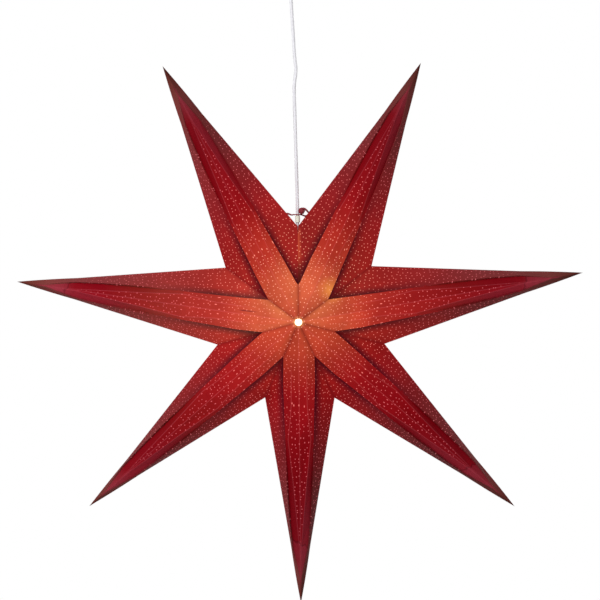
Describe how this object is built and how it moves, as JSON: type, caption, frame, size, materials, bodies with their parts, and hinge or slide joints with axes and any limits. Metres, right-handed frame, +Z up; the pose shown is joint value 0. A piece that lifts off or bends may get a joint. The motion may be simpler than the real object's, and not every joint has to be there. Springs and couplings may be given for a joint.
{
  "type": "paper star pendant lamp",
  "caption": "Lit red folded-paper star with long needle points, hung on a flat white cord from a ceiling cup, with a screw-in bulb in a lamp holder inside.",
  "frame": {"origin": "middle of the ceiling plate's top face, on the ceiling", "axes": "+Z up to the ceiling, +X to the right seen from the front, the star's front faces -Y"},
  "size_m": [0.5363, 0.1442, 0.6523],
  "materials": {
    "paper": "matt dyed card, lit from inside",
    "twine": "twisted yarn",
    "cord_white": "soft extruded vinyl",
    "stop_clear": "milky moulded plastic",
    "cup_white": "moulded, glossy",
    "plate_steel": "zinc plated, pressed",
    "block_nylon": "moulded",
    "brass": "pressed",
    "screw_steel": "turned",
    "core_blue": "extruded",
    "holder_white": "moulded, glossy",
    "insert_ceramic": "pressed steatite",
    "bulb_metal": "rolled",
    "bulb_black": "vitrite",
    "bulb_glass": "blown, frosted",
    "stem_glass": "drawn",
    "filament": "phosphor coated rods"
  },
  "bodies": {
    "ceiling": {"ceiling_plate": "plate_steel", "cord_clamp_saddle": "plate_steel", "clamp_screws": "plate_steel", "clamp_nuts": "plate_steel", "terminal_block": "block_nylon", "terminal_tubes": "brass", "terminal_screws": "screw_steel", "supply_cores": "core_blue", "cord_upper": "cord_white"},
    "cup": {"ceiling_cup": "cup_white", "cup_grip_screw": "cup_white"},
    "pendant": {"cord_lower": "cord_white", "cord_stop": "stop_clear", "holder_cap": "holder_white", "holder_shell": "holder_white", "holder_insert": "insert_ceramic", "holder_terminal_screws": "brass", "holder_screw_sleeve": "brass", "holder_centre_contact": "brass", "holder_cores": "core_blue"},
    "bulb": {"bulb_base": "bulb_metal", "bulb_insulator": "bulb_black", "bulb_centre_contact": "brass", "bulb_glass": "bulb_glass", "bulb_stem": "stem_glass", "bulb_filaments": "filament"},
    "star": {"star_point_1": "paper", "star_point_2": "paper", "star_point_3": "paper", "star_point_4": "paper", "star_point_5": "paper", "star_point_6": "paper", "star_point_7": "paper", "tie_twine": "twine", "tie_knot": "twine"}
  },
  "joints": [
    {"name": "cup_slide", "type": "slide", "parent": "ceiling", "child": "cup", "axis": [0.0621, 0, -0.9981], "range_m": [0, 0.06]},
    {"name": "pendant_swing", "type": "hinge", "parent": "ceiling", "child": "pendant", "pos_m": [0.00385, 0, -0.166], "axis": [0, 1, 0], "range_deg": [-10, 10]},
    {"name": "star_turn", "type": "hinge", "parent": "pendant", "child": "star", "pos_m": [0.007, 0, -0.2812], "axis": [0, 0, 1], "continuous": true},
    {"name": "bulb_screw", "type": "hinge", "parent": "pendant", "child": "bulb", "pos_m": [0.007, 0, -0.3837], "axis": [0, 0, 1], "continuous": true}
  ]
}
